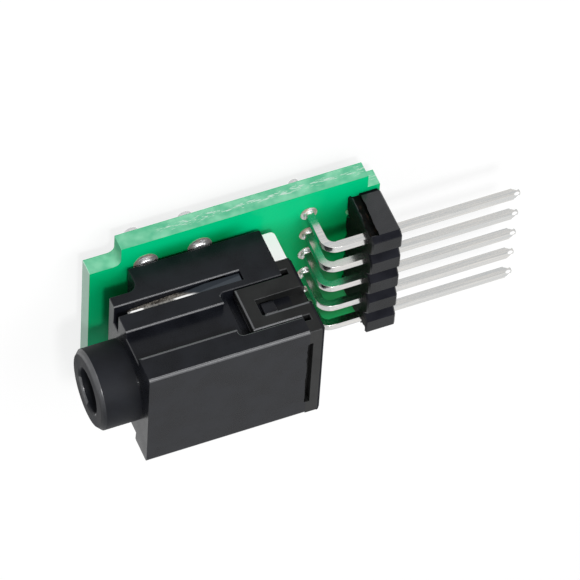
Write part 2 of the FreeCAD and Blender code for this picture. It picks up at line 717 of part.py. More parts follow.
def make_ring_switch_contact():
    """A fixed contact whose tongue hangs over the free end of the ring's spring."""
    line = f"(-{LEG_LINE})"
    inner = "(-spring_half_width - leg_width / 2)"
    legs = (f"{NEAR_LEG} - leg_width / 2", f"{NEAR_LEG} + leg_width / 2")
    rise = f"({NEAR_LEG} + ring_nose + nose_tail + leg_width)"
    tongue_level = "(-plug_bore / 2 - 2 * slip - sheet_thickness / 2)"
    leg = bent_strip([(line, TAIL_END), (line, FOOT_LEVEL), (inner, FOOT_LEVEL)], "yz", legs)
    floor_run = bent_strip([
        (legs[0], FOOT_LEVEL),
        (rise, FOOT_LEVEL),
        (rise, f"{tongue_level} - bend_radius"),
    ], "xz", (f"{inner} - leg_width", inner))
    tongue = bent_strip([
        (rise, f"{FOOT_LEVEL} + bend_radius + sheet_thickness"),
        (rise, tongue_level),
        (f"{rise} - leg_width", tongue_level),
    ], "xz", (f"{inner} - leg_width", "spring_half_width"))
    keep_shape("ring_switch_contact", fused([leg, floor_run, tongue]))


def make_tip_switch_contact():
    """A fixed contact that comes up through the white insulator and stands behind the plug's tip."""
    stand = f"({REAR} - insert_depth - 2 * sheet_thickness)"
    strip = bent_strip([
        (REAR_LEG, TAIL_END),
        (REAR_LEG, FOOT_LEVEL),
        (stand, FOOT_LEVEL),
        (stand, "nose_rise"),
    ], "xz", ("-leg_width / 2", "leg_width / 2"))
    keep_shape("tip_switch_contact", strip)


# Header
def make_header_housing():
    body = doc.addObject("PartDesign::Body", "header_housing")
    base = BOARD_FACE
    roof = f"({BOARD_FACE} + header_height)"
    last = PIN_COUNT - 1
    high_end = "(first_pad + header_end)"
    low_end = f"(first_pad - {last} * pitch - header_foot)"
    upper = [(high_end, f"{roof} - cell_valley")]
    for i in range(PIN_COUNT):
        middle = f"(first_pad - {i} * pitch)"
        upper.append((f"{middle} + cell_flat / 2", roof))
        upper.append((f"{middle} - cell_flat / 2" if i < last else low_end, roof))
        if i < last:
            upper.append((f"{middle} - pitch / 2", f"{roof} - cell_valley"))
    lower = [(across, up.replace(roof, base).replace("- cell_valley", "+ cell_valley"))
             for across, up in reversed(upper)]
    outline = sketch_in(body, "header_outline", "YZ_Plane", HEADER_REAR)
    draw_outline(outline, upper + lower)
    block = pad(body, outline, "header_depth")
    faces = (number(HEADER_REAR), number(HEADER_FRONT))

    def face_edge(edge):
        bounds = edge.BoundBox
        return near(bounds.XMin, bounds.XMax) and any(near(bounds.XMin, x) for x in faces)

    eased = dress(body, "Chamfer", "header_eased", block, "Size", "header_edge", face_edge)
    holes = sketch_in(body, "header_holes", "YZ_Plane", HEADER_REAR)
    level = f"({BOARD_FACE} + pin_lift)"
    half = "(pin_size / 2)"
    for i in range(PIN_COUNT):
        middle = f"(first_pad - {i} * pitch)"
        draw_outline(holes, [
            (f"{middle} - {half}", f"{level} - {half}"),
            (f"{middle} + {half}", f"{level} - {half}"),
            (f"{middle} + {half}", f"{level} + {half}"),
            (f"{middle} - {half}", f"{level} + {half}"),
        ])
    doc.recompute()
    whole = eased.Shape.Volume
    pierced = body.newObject("PartDesign::Pocket", "header_pierced")
    pierced.Profile = holes
    pierced.Reversed = True
    pierced.setExpression("Length", formula("header_depth"))
    doc.recompute()
    if not pierced.Shape.Volume < whole:
        raise ValueError("the header's holes cut nothing")
    finish("header_housing", body)


def make_header_pin(name, x, y):
    body = doc.addObject("PartDesign::Body", name)
    half = "(pin_size / 2)"
    level = f"({BOARD_FACE} + pin_lift)"
    tail = f"({TAIL_END} + point_length)"
    tip = f"({PIN_TIP} - point_length)"
    outline = sketch_in(body, f"{name}_outline", "XZ_Plane", f"-{y} - {half}")
    draw_outline(outline, [
        (f"{x} - {half}", tail),
        (f"{x} + {half}", tail),
        (f"{x} + {half}", f"{level} - {half}"),
        (tip, f"{level} - {half}"),
        (tip, f"{level} + {half}"),
        (f"{x} - {half}", f"{level} + {half}"),
    ])
    bar = pad(body, outline, "pin_size")
    inner = (number(f"{x} + {half}"), number(f"{level} - {half}"))
    outer = (number(f"{x} - {half}"), number(f"{level} + {half}"))

    def corner(edge, place):
        middle = edge.CenterOfMass
        return runs_along(edge, "y") and near(middle.x, place[0]) and near(middle.z, place[1])

    inside = dress(body, "Fillet", f"{name}_inside", bar, "Radius", "pin_bend",
                   lambda edge: corner(edge, inner))
    dress(body, "Fillet", f"{name}_outside", inside, "Radius", "pin_bend + pin_size",
          lambda edge: corner(edge, outer))
    taper(body, f"{name}_tip", (tip, y, level), FreeCAD.Vector(0, 0, -1))
    taper(body, f"{name}_tail", (x, y, tail), FreeCAD.Vector(-1, 0, 0))
    finish(name, body)


def taper(body, name, place, turn_axis):
    """A pin's four-sided point, turned a quarter about the axis from pointing along Y."""
    doc.recompute()
    point = body.newObject("PartDesign::AdditiveWedge", name)
    rotation = FreeCAD.Rotation(turn_axis, 90)
    point.Placement = FreeCAD.Placement(FreeCAD.Vector(), rotation)
    for letter, where in zip("xyz", place):
        point.setExpression(f"Placement.Base.{letter}", formula(where))
    for size, value in (
        ("Xmin", "-pin_size / 2"), ("Xmax", "pin_size / 2"),
        ("Zmin", "-pin_size / 2"), ("Zmax", "pin_size / 2"),
        ("X2min", "point_taper - pin_size / 2"), ("X2max", "pin_size / 2 - point_taper"),
        ("Z2min", "point_taper - pin_size / 2"), ("Z2max", "pin_size / 2 - point_taper"),
        ("Ymin", "0"), ("Ymax", "point_length"),
    ):
        point.setExpression(size, formula(value))


# Plated holes and solder joints
def lathe(points, middle):
    """A round solid from its half section: points of radius and height, or an arc of three."""
    axis = FreeCAD.Vector(middle[0], middle[1], 0)
    edges = []
    for item in points:
        places = [axis + FreeCAD.Vector(r, 0, z) for r, z in item]
        curve = Part.Arc(*places) if len(places) == 3 else Part.LineSegment(*places)
        edges.append(curve.toShape())
    face = Part.Face(Part.Wire(edges))
    return face.revolve(axis, FreeCAD.Vector(0, 0, 1), 360)


def closed(corners):
    return list(zip(corners, corners[1:] + corners[:1]))


def plated_hole(x, y, hole, ring):
    """The lining of a hole, with a flat ring on each face of the board."""
    outer = number(f"{hole} / 2")
    inner = number(f"{hole} / 2 - plating")
    edge = number(f"{ring} / 2")
    face, back = number(BOARD_FACE), number(BOARD_BACK)
    rise = number("ring_thickness")
    return lathe(closed([(inner, back - rise), (edge, back - rise), (edge, back), (outer, back),
                         (outer, face), (edge, face), (edge, face + rise), (inner, face + rise)]),
                 (number(x), number(y)))


def solder_joint(x, y, hole, ring, top_height, metal, metal_reach):
    """Solder that fills a plated hole, creeps up the metal and covers its tail with a round end."""
    inner = number(f"{hole} / 2 - plating")
    foot = number(f"{ring} / 2 - solder_margin")
    neck = metal_reach + number("solder_neck")
    rise = number("ring_thickness")
    face = number(BOARD_FACE) + rise
    back = number(BOARD_BACK) - rise
    top = number(BOARD_FACE) + top_height
    bottom = number(f"{TAIL_END} - solder_cover")
    dome = number("solder_dome")
    shoulder = bottom + dome
    hollow = number("solder_hollow")
    dome_radius = (neck ** 2 + dome ** 2) / (2 * dome)
    half_angle = math.acos(1 - dome / dome_radius) / 2
    dome_middle = (dome_radius * math.sin(half_angle),
                   bottom + dome_radius * (1 - math.cos(half_angle)))

    def creep(level, end):
        middle = (neck + (foot - neck) * hollow, level + (end - level) * hollow)
        return ((foot, level), middle, (neck, end))

    section = [
        creep(face, top),
        ((neck, top), (0, top)),
        ((0, top), (0, bottom)),
        ((0, bottom), dome_middle, (neck, shoulder)),
        tuple(reversed(creep(back, shoulder))),
        ((foot, back), (inner, back)),
        ((inner, back), (inner, face)),
        ((inner, face), (foot, face)),
    ]
    joint = lathe(section, (number(x), number(y)))
    return joint.cut(metal)


def make_holes_and_joints():
    leg_reach = math.hypot(number("leg_width / 2"), number("sheet_thickness / 2"))
    for index, (metal_name, x, y) in enumerate(JACK_SPOTS, start=1):
        keep_shape(f"jack_plating_{index}", plated_hole(x, y, "jack_hole", "jack_ring"))
        metal = pieces[metal_name].Shape
        keep_shape(f"jack_solder_{index}", solder_joint(x, y, "jack_hole", "jack_ring",
                                                       number("standoff - slip"), metal, leg_reach))
    pin_half = number("pin_size / 2")
    pin_diagonal = math.hypot(pin_half, pin_half)
    for index, (metal_name, x, y) in enumerate(HEADER_SPOTS, start=1):
        keep_shape(f"header_plating_{index}", plated_hole(x, y, "header_hole", "header_ring"))
        metal = pieces[metal_name].Shape
        keep_shape(f"header_solder_{index}", solder_joint(x, y, "header_hole", "header_ring",
                                                         number("header_solder"), metal,
                                                         pin_diagonal))
    keep_shape("tented_via", plated_hole(*VIA_SPOT, "via_hole", "via_ring"))


make_board()
make_housing()
make_cover()
make_insulator()
make_sleeve_contact()
make_tip_contact()
make_ring_contact()
make_ring_switch_contact()
make_tip_switch_contact()
make_header_housing()
for pin_name, x, y in HEADER_SPOTS:
    make_header_pin(pin_name, x, y)
doc.recompute()
make_holes_and_joints()
doc.recompute()

for thing in doc.Objects:
    if "Invalid" in thing.State or "Error" in thing.State:
        raise ValueError(f"{thing.Name} failed: {thing.State}")
os.makedirs("parts", exist_ok=True)
for node, piece in pieces.items():
    shape = piece.Shape
    if shape.isNull() or not shape.isValid() or not shape.Solids:
        raise ValueError(f"{node} has no valid solid")
    shape.exportStep(f"parts/{node}.step")
    bounds = shape.BoundBox
    print(f"{node}: {len(shape.Solids)} solid, {shape.Volume:.3f} mm3, "
          f"X {bounds.XMin:.2f} to {bounds.XMax:.2f}, Y {bounds.YMin:.2f} to {bounds.YMax:.2f}, "
          f"Z {bounds.ZMin:.2f} to {bounds.ZMax:.2f}")
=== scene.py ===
# %% [markdown]
# # A plug socket on a small circuit board
#
# The object is a green board of 24 by 18 mm, which carries a black socket for a 3.5 mm plug and a
# row of five bent pins. Its solids come ready made, as named nodes in one frame: X runs from the
# socket's mouth to the pin tips, Y runs up the board, and Z is the side with the parts. This
# lesson dresses them: it sets a camera and a light, writes one finish for each real material, and
# models what a plain solid can't show, such as solder.

import math

import bmesh
import bpy
from mathutils import Matrix, Vector


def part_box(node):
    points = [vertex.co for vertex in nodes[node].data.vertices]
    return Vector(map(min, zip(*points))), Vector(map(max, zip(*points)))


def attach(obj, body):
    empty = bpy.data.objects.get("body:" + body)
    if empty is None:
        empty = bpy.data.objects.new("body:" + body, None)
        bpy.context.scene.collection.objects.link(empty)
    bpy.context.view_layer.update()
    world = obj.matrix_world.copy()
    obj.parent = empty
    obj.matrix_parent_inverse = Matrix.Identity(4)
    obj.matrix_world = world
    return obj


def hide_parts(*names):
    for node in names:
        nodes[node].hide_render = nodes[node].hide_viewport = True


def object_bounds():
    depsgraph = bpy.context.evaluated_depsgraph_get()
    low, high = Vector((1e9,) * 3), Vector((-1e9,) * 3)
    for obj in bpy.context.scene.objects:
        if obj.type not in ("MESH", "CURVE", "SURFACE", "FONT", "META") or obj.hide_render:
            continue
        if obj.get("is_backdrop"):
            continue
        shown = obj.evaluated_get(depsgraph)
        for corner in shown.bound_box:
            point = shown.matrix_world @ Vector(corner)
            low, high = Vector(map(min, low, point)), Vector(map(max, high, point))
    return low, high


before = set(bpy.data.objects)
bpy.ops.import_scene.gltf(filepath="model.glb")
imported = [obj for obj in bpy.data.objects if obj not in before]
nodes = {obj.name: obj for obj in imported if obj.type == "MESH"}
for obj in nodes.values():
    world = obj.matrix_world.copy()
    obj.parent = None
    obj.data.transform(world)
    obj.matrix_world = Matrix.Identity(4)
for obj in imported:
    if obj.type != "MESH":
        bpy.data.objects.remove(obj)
cad_low, cad_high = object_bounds()
MM = 0.001
print("nodes:", len(nodes), "size in mm:", [round(v / MM, 2) for v in cad_high - cad_low])

# %% [markdown]
# ## The camera
#
# A product photographer stands well back with a long lens, so that parallel edges stay nearly
# parallel. The place below was worked out from the pins, whose spacing is known, and the board's
# corners. The three directions are the picture's right, its up, and the way back to the camera.
# The picture's up leans away from the board's parts, so the board stands upright in the picture
# and the socket hangs in front of it.

# %% Place the camera
CAMERA_PLACE = Vector((-113.24, 409.44, 273.90)) * MM
TOWARDS_CAMERA = Vector((-0.25712, 0.80002, 0.54209)).normalized()
PICTURE_UP = Vector((0.27977, 0.59855, -0.75064))
SENSOR_WIDTH = 36
FOCAL_LENGTH = 406.2
picture_right = PICTURE_UP.cross(TOWARDS_CAMERA).normalized()
picture_up = TOWARDS_CAMERA.cross(picture_right)

camera_data = bpy.data.cameras.new("camera")
camera_data.sensor_width = SENSOR_WIDTH
camera_data.lens = FOCAL_LENGTH
camera_data.clip_start = 0.01
camera_data.clip_end = 20
camera = bpy.data.objects.new("camera", camera_data)
bpy.context.scene.collection.objects.link(camera)
turn = Matrix((picture_right, picture_up, TOWARDS_CAMERA)).transposed().to_4x4()
camera.matrix_world = Matrix.Translation(CAMERA_PLACE) @ turn
bpy.context.scene.camera = camera
bpy.context.scene.view_settings.view_transform = "Standard"
print("camera stands", round((CAMERA_PLACE - (cad_low + cad_high) / 2).length, 3), "m away")

# %% [markdown]
# ## One small language for finishes
#
# Blender builds a material from nodes joined by links. Placing dozens of them by hand hides the
# idea, so a Signal stands for one value on its way through the nodes, and plain arithmetic on it
# places the Math nodes. A NodeTree places any other node and joins it to the rest, and a Finish is
# the tree of one material.


# %% Signals
class Signal:
    """A value that runs along a link; arithmetic on it adds Math nodes."""

    def __init__(self, finish, socket):
        self.finish = finish
        self.socket = socket

    def maths(self, operation, *values):
        """The outcome of an operation on numbers and signals."""
        inputs = {("Value", "Value_001", "Value_002")[i]: v for i, v in enumerate(values)}
        return self.finish.add("ShaderNodeMath", {"operation": operation}, inputs)

    def __add__(self, other):
        return self.maths("ADD", self, other)

    __radd__ = __add__

    def __sub__(self, other):
        return self.maths("SUBTRACT", self, other)

    def __rsub__(self, other):
        return self.maths("SUBTRACT", other, self)

    def __mul__(self, other):
        return self.maths("MULTIPLY", self, other)

    __rmul__ = __mul__

    def __truediv__(self, other):
        return self.maths("DIVIDE", self, other)

    def __abs__(self):
        return self.maths("ABSOLUTE", self)

    def most(self, other):
        return self.maths("MAXIMUM", self, other)

    def sine(self):
        return self.maths("SINE", self)

    def folded(self, width):
        """The distance from the nearest even multiple of width, as on a folded paper strip."""
        return self.maths("PINGPONG", self, width)


print("arithmetic on a signal adds Math nodes")

# %% [markdown]
# ### Trees of nodes
#
# Nodes and the links between them are what a material and the world have in common. Any node is
# placed by the same few lines, which set it up, feed its inputs and hand back its output. A socket
# is found by its name, because its number differs from node to node.


# %% Node trees
class NodeTree:
    """Nodes joined by links, in a material or in the world."""

    def __init__(self, tree):
        self.tree = tree

    def find(self, sockets, name):
        return next(s for s in sockets if s.enabled and name in (s.identifier, s.name))

    def feed(self, node, name, value):
        socket = self.find(node.inputs, name)
        if isinstance(value, Signal):
            self.tree.links.new(value.socket, socket)
        elif isinstance(value, tuple) and len(value) == 3 and socket.type == "RGBA":
            socket.default_value = (*value, 1)
        else:
            socket.default_value = value

    def add(self, kind, settings, inputs, output=None):
        node = self.tree.nodes.new(kind)
        for name, value in settings.items():
            setattr(node, name, value)
        for name, value in inputs.items():
            self.feed(node, name, value)
        wanted = self.find(node.outputs, output) if output else node.outputs[0]
        return Signal(self, wanted)

    def blend(self, share, first, second):
        """The first colour where share is 0, the second where it is 1."""
        return self.add("ShaderNodeMix", {"data_type": "RGBA"},
                        {"Factor": share, "A": first, "B": second}, "Result")


print("a node tree can be built and fed")

# %% [markdown]
# ### Finishes
#
# A finish reads the place on the object in millimetres, because grain and scratches have real
# sizes. It is made from a few means: cloudy noise for stains, stretched noise for drawn or rolled
# lines, scattered points for specks, and bands between two places.


# %% Finishes
class Finish(NodeTree):
    """One material and its shader."""

    def __init__(self, name, **constants):
        self.material = bpy.data.materials.new(name)
        self.material.use_nodes = True
        super().__init__(self.material.node_tree)
        self.shader = self.tree.nodes["Principled BSDF"]
        self.surface(**constants)
        here = self.add("ShaderNodeTexCoord", {}, {}, "Object")
        self.place = self.stretched(1 / MM, here)

    def surface(self, **inputs):
        """Feeds the shader, by its sockets' names with underscores for blanks."""
        for words, value in inputs.items():
            self.feed(self.shader, words.replace("_", " "), value)

    def stretched(self, factor, vector=None):
        """The place with its coordinates multiplied, by one number or by three."""
        vector = vector or self.place
        if isinstance(factor, tuple):
            return self.add("ShaderNodeVectorMath", {"operation": "MULTIPLY"},
                            {"Vector": vector, "Vector_001": factor})
        return self.add("ShaderNodeVectorMath", {"operation": "SCALE"},
                        {"Vector": vector, "Scale": factor})

    def axes(self):
        """The place as three signals, X, Y and Z in millimetres."""
        split = self.add("ShaderNodeSeparateXYZ", {}, {"Vector": self.place}, "X")
        return [Signal(self, self.find(split.socket.node.outputs, axis)) for axis in "XYZ"]

    def noise(self, scale, vector=None, detail=2.0, roughness=0.5):
        """Cloudy noise around a half; scale is features per millimetre."""
        return self.add("ShaderNodeTexNoise", {}, {
            "Vector": vector or self.place, "Scale": scale, "Detail": detail,
            "Roughness": roughness}, "Fac")

    def cells(self, scale, vector=None):
        """Distance to the nearest of many scattered points."""
        return self.add("ShaderNodeTexVoronoi", {}, {
            "Vector": vector or self.place, "Scale": scale}, "Distance")

    def between(self, signal, low, high):
        """0 below low, 1 above high, smooth from one to the other."""
        return self.add("ShaderNodeMapRange", {"interpolation_type": "SMOOTHSTEP"},
                        {"Value": signal, "From Min": low, "From Max": high})

    def band(self, signal, first, last, fade):
        """1 from first to last, fading to 0 outside."""
        after = self.between(signal, first - fade, first)
        return after * self.between(signal, last + fade, last)

    def mark(self, name):
        """A number stored on the piece's own faces."""
        return self.add("ShaderNodeAttribute", {"attribute_name": name}, {}, "Fac")

    def soft_edges(self, radius):
        """Normals that run round every edge, as on moulded plastic; radius in millimetres."""
        return self.add("ShaderNodeBevel", {"samples": 6}, {"Radius": radius * MM})

    def bumps(self, height, depth, normal=None):
        """Relief from a signal between 0 and 1; depth in millimetres."""
        inputs = {"Height": height, "Distance": depth * MM}
        if normal:
            inputs["Normal"] = normal
        return self.add("ShaderNodeBump", {}, inputs)


print("finishes can now be written")

# %% [markdown]
# ## The coated board
#
# The board is glass cloth in resin under a glossy green coating. The coating is only on the two
# faces; the cut edges show the pale laminate, whose glass threads were torn by the cutter and
# catch the light as white streaks. Both are one solid here, so the finish asks how far a point
# lies from the board's middle plane: the outermost few hundredths of a millimetre are coating.
# The green is lighter towards the upper edge, the left edge and the left corner by the socket's
# mouth, which is painted light; it is paler in a band behind the socket, and darker beside the
# socket's body, which is painted shade.

# %% Board finish
BOARD_LOW, BOARD_HIGH = [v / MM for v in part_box("circuit_board")]
board_middle = (BOARD_LOW.z + BOARD_HIGH.z) / 2
board_half = (BOARD_HIGH.z - BOARD_LOW.z) / 2
WEAVE_PITCH = 0.55


def coating_colour(coat, x, y):
    """Green with painted light near the top and left edges and painted shade by the socket."""
    mottle = coat.noise(0.35, detail=3)
    deep = coat.blend(coat.between(mottle, 0.35, 0.7), (0.0, 0.2, 0.045), (0.0, 0.26, 0.07))
    # Painted light near the upper and left edges and by the mouth; a paler band behind the socket.
    upper_edge = coat.between(y, 1.5, BOARD_HIGH.y + 0.2)
    left_edge = coat.between(x, 5.5, 2.6) * 0.55
    left_corner = coat.between(x, 5.5, 3.6) * coat.between(y, 1, -3)
    behind_the_socket = coat.band(x, 17, 19, 2.5) * 0.3
    painted_light = upper_edge.most(left_edge).most(left_corner) + behind_the_socket
    # Painted shade beside the socket's body.
    painted_shade_by_socket = coat.between(x, 5, 9) * coat.between(x, 16, 13.5) * coat.between(y, 6.9, 5.2)
    green = coat.blend(painted_light, deep, (0.0, 0.58, 0.23))
    return coat.blend(painted_shade_by_socket * 0.75, green, (0.0, 0.15, 0.03))


def laminate_colour(coat, x, z):
    """Pale resin with torn white threads along the routed edges, palest where it was sawn."""
    patches = coat.noise(0.8, detail=2)
    resin = coat.blend(coat.between(patches, 0.3, 0.75), (0.13, 0.58, 0.33), (0.3, 0.76, 0.5))
    threads = coat.noise(1.0, coat.stretched((1.3, 1.3, 9)), detail=4, roughness=0.7)
    torn = coat.between(threads - abs(z - board_middle + 0.1) * 0.35, 0.49, 0.56)
    torn = torn * coat.between(x, 7.8, 9.6) * 0.85
    sawn = coat.between(x, BOARD_LOW.x + 0.05, BOARD_LOW.x + 0.02) * 0.9
    return coat.blend(sawn, coat.blend(torn, resin, (0.72, 0.86, 0.78)), (0.72, 0.95, 0.82))


def board_finish():
    coat = Finish("green_board", Specular_IOR_Level=0.04)
    x, y, z = coat.axes()
    coated = coat.between(abs(z - board_middle), board_half - 0.05, board_half - 0.02)
    weave = (x * (math.tau / WEAVE_PITCH)).sine() * (y * (math.tau / WEAVE_PITCH)).sine()
    coat.surface(
        Base_Color=coat.blend(coated, laminate_colour(coat, x, z), coating_colour(coat, x, y)),
        Roughness=0.62 - coated * 0.34,
        Normal=coat.bumps(coat.noise(5) + weave * 0.25, 0.004),
    )
    return coat.material


green_board = board_finish()
print("board finish has", len(green_board.node_tree.nodes), "nodes")

# %% [markdown]
# ## Black moulded plastic
#
# The socket's body is glass-filled nylon: nearly black, with a fine matt grain from the mould and
# pale, glossy edges, partly rubbed by hands and trays and partly a painted highlight. The grain is
# relief a few thousandths of a millimetre deep, and the gloss wanders slowly over the surface. How
# pale each edge is, is a mark on each piece's own faces, written further down. A few lips get a
# painted highlight along a strip of their flat side, and such a strip is given by its place. One
# recipe serves the three mouldings, each with its own tone and grain, and a matt one serves what
# nothing rubs.


# %% Plastic finishes
BARREL_LENGTH = 3.3
BARREL_RADIUS = 3.3


def highlight_strip(shell, axes, lip):
    """A painted highlight strip on the side that looks up the board; millimetres."""
    along, across, first, last, begin, width = lip
    strip = shell.band(axes[across], begin, begin + width, 0.03)
    return strip * shell.band(axes[along], first, last, 0.1) * shell.between(axes["y"], 5.1, 5.2)


def black_plastic(name, tone, gloss, grain_size, wear_and_highlight=0.08, specular=0.16, lips=()):
    shell = Finish(name, Specular_IOR_Level=specular, Coat_Roughness=0.25)
    axes = dict(zip("xyz", shell.axes()))
    # Edges are paler and glossier: partly wear, partly a painted highlight.
    edge = shell.mark("rounded")
    for lip in lips:
        edge = edge.most(highlight_strip(shell, axes, lip))
    edge = edge * (0.75 + shell.noise(1.3, detail=3) * 0.5)
    drift = shell.noise(0.5, detail=3)
    grain = shell.noise(grain_size, detail=3, roughness=0.6)
    dust = shell.between(shell.cells(3.2), 0.05, 0.02)
    brighter = tuple(v * 1.6 + 0.002 for v in tone)
    colour = shell.blend(shell.between(drift, 0.3, 0.7), tone, brighter)
    colour = shell.blend(dust * 0.25, colour, (0.12, 0.12, 0.12))
    on_barrel = shell.between(axes["x"], BARREL_LENGTH, BARREL_LENGTH - 0.2)
    shell.surface(
        Base_Color=shell.blend(edge, colour, (wear_and_highlight * 0.95, wear_and_highlight * 0.97, wear_and_highlight * 1.05)),
        Coat_Weight=edge,
        Roughness=gloss + (grain - 0.5) * 0.25 + (drift - 0.5) * 0.2 + on_barrel * 0.3,
        Normal=shell.bumps(grain, 0.003),
    )
    return shell.material


# Each lip's painted highlight strip: the axis it runs along, the axis across it, its two ends,
# where it begins, its width.
BODY_LIPS = [("x", "z", 3.5, 11.3, 2.15, 0.13)]
COVER_LIPS = [("x", "z", 14.0, 17.6, 1.6, 0.12), ("z", "x", -1.3, 2.5, 12.6, 0.1)]
body_black = black_plastic("body_plastic", (0.0045, 0.0052, 0.0075), 0.3, 16, lips=BODY_LIPS)
cover_black = black_plastic("cover_plastic", (0.0095, 0.0098, 0.0098), 0.34, 12, lips=COVER_LIPS)
header_black = black_plastic("header_plastic", (0.0065, 0.007, 0.0085), 0.28, 9, 0.06)
valley_black = black_plastic("matt_plastic", (0.011, 0.0115, 0.015), 0.7, 9, 0.0, 0.0)
print("plastic finishes:", body_black.name, cover_black.name, header_black.name)

# %% [markdown]
# ## The white insulator
#
# The block under the cover keeps the rear contacts apart. It is plain nylon without pigment or
# glass, so it is nearly white, with a smooth skin and soft edges. Its edges are short and half
# hidden, so a Bevel node, which only bends the light at an edge, does here what a new mesh does
# for the black mouldings.


# %% White insulator finish
def white_plastic():
    block = Finish("insulator_plastic", Specular_IOR_Level=0.4)
    drift = block.noise(0.9, detail=3)
    block.surface(
        Base_Color=block.blend(drift, (0.93, 0.93, 0.92), (0.97, 0.97, 0.965)),
        Roughness=0.42 + (drift - 0.5) * 0.2,
        Normal=block.bumps(block.noise(8), 0.003, block.soft_edges(0.06)),
    )
    return block.material


insulator_white = white_plastic()
print("insulator finish:", insulator_white.name)

# %% [markdown]
# ## Metals
#
# The pins are drawn wire with a thin coat of tin, so fine lines run along them, and on each
# corner of a tip a white oval is painted as a highlight. One oval serves all five pins: the place
# across the row is folded at half the pitch, so that each pin reads the same distance.
# The rings round the holes were dipped in solder, and the joints are solder that froze in place:
# bright, wrinkled, and brown with burnt flux at the foot.


# %% Metal finishes
first_low, first_high = [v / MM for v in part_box("header_pin_1")]
second_low, second_high = [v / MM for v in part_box("header_pin_2")]
PIN_WIDTH = first_high.y - first_low.y
PIN_PITCH = abs(second_low.y - first_low.y)
PIN_TIP = first_high.x
PIN_AXIS = Vector((0, first_low.y + PIN_WIDTH / 2, first_high.z - PIN_WIDTH / 2))
OVAL_MIDDLE, OVAL_LENGTH, OVAL_WIDTH = 0.36, 0.25, 0.17


def drawn_tin():
    wire = Finish("pin_tin", Metallic=1.0)
    x, y, z = wire.axes()
    lines = wire.noise(1.0, wire.stretched((0.2, 14, 14)), detail=3, roughness=0.6)
    grain = wire.noise(9, detail=2)
    tone = wire.between(lines + (grain - 0.5) * 0.4, 0.3, 0.7)
    # Painted highlight: a white oval on each corner of the tip.
    aside = (y - PIN_AXIS.y).folded(PIN_PITCH / 2)
    across = (aside - abs(z - PIN_AXIS.z)) / OVAL_WIDTH
    back = (x - PIN_TIP + OVAL_MIDDLE) / OVAL_LENGTH
    painted_highlight = wire.between(across * across + back * back, 1.2, 0.8)
    tinned = wire.blend(tone, (0.5, 0.515, 0.52), (0.64, 0.62, 0.59))
    wire.surface(
        Base_Color=wire.blend(painted_highlight, tinned, (1.0, 1.0, 1.0)),
        Roughness=0.18 + (lines - 0.5) * 0.12,
        Normal=wire.bumps(lines + grain * 0.5, 0.001),
    )
    return wire.material


def solder_metal(name, dark, light, gloss, wrinkle):
    drop = Finish(name, Metallic=0.8)
    z = drop.axes()[2]
    slow = drop.noise(1.6, detail=2)
    fine = drop.noise(14, detail=3, roughness=0.65)
    foot = drop.between(abs(z - board_middle), board_half + 0.22, board_half + 0.05)
    flux = foot * drop.between(slow, 0.45, 0.6)
    bright = drop.blend(drop.between(fine, 0.35, 0.65), dark, light)
    drop.surface(
        Base_Color=drop.blend(flux * 0.6, bright, (0.34, 0.22, 0.12)),
        Roughness=gloss + (slow - 0.5) * 0.2 + flux * 0.25,
        Normal=drop.bumps(slow + fine * 0.12 + drop.cells(3.2) * 0.7, wrinkle),
    )
    return drop.material


pin_tin = drawn_tin()
ring_tin = solder_metal("ring_tin", (0.6, 0.6, 0.58), (0.8, 0.79, 0.76), 0.3, 0.01)
joint_solder = solder_metal("joint_solder", (0.66, 0.66, 0.67), (0.9, 0.9, 0.9), 0.26, 0.05)
print("metal finishes:", pin_tin.name, ring_tin.name, joint_solder.name)

# %% [markdown]
# ## The contact strip
#
# A stamped strip of plated alloy lies in the socket's long groove. Where the press folded it, the
# plating is stained, and a painted highlight runs along the crest of the fold, brightest towards
# both ends; the flat rear end is still as dull and bluish as it left the rolls, and lighter in its
# upper part. The fold is finer than its own shine, so it is written as a slope in the relief, and
# the rest as bands across the strip.


# %% Contact strip finish
STRIP_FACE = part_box("sleeve_contact")[1].y / MM
STRIP_CREST = -2.5
FLAT_END = 14.4


def strip_finish():
    sheet = Finish("contact_strip")
    x, y, z = sheet.axes()
    rolled = sheet.noise(1.0, sheet.stretched((0.5, 26, 20)), detail=3, roughness=0.6)
    stain = sheet.noise(5, detail=4, roughness=0.7)
    # The crest of the fold, with a painted highlight brightest at its two ends.
    height = z - (y - STRIP_FACE) * 0.68 + (stain - 0.5) * 0.06
    ends = sheet.between(x, 5.7, 5.5).most(sheet.between(x, 7.9, 8.3))
    crest = sheet.between(height, STRIP_CREST - 0.02, STRIP_CREST + 0.03)
    wear_and_highlight = crest * (ends * 0.8 + 0.2)
    stained = sheet.blend(sheet.between(stain, 0.4, 0.6), (0.07, 0.062, 0.052), (0.26, 0.24, 0.21))
    pressed = sheet.blend(wear_and_highlight, stained, (0.92, 0.92, 0.91))
    # The flat end, which begins along a slant, with a lighter upper part.
    flat = sheet.between(x - height * 2.2 + (stain - 0.5) * 0.6, FLAT_END, FLAT_END + 1)
    lighter_top = sheet.between(z + x * 0.11, -1.35, -1.25)
    plate = sheet.blend(lighter_top, (0.03, 0.036, 0.044), (0.055, 0.064, 0.075))
    # The fold's slope near the front.
    slope = sheet.between(x, 7.5, 6) * z * -0.16
    sheet.surface(
        Base_Color=sheet.blend(flat, pressed, plate),
        Metallic=wear_and_highlight.most(flat) * 0.65 + 0.35,
        Roughness=0.2 + (rolled - 0.5) * 0.2 + (stain - 0.5) * 0.15,
        Normal=sheet.bumps((rolled + stain * 0.4) * 0.004 + slope, 1.0),
    )
    return sheet.material


strip_metal = strip_finish()
print("strip finish:", strip_metal.name)

# %% [markdown]
# ## The coated via
#
# A via is a small plated hole that joins the copper of both faces. The green coating runs over
# its ring, so it shows only as a ring of another green, darker where the coating pooled.


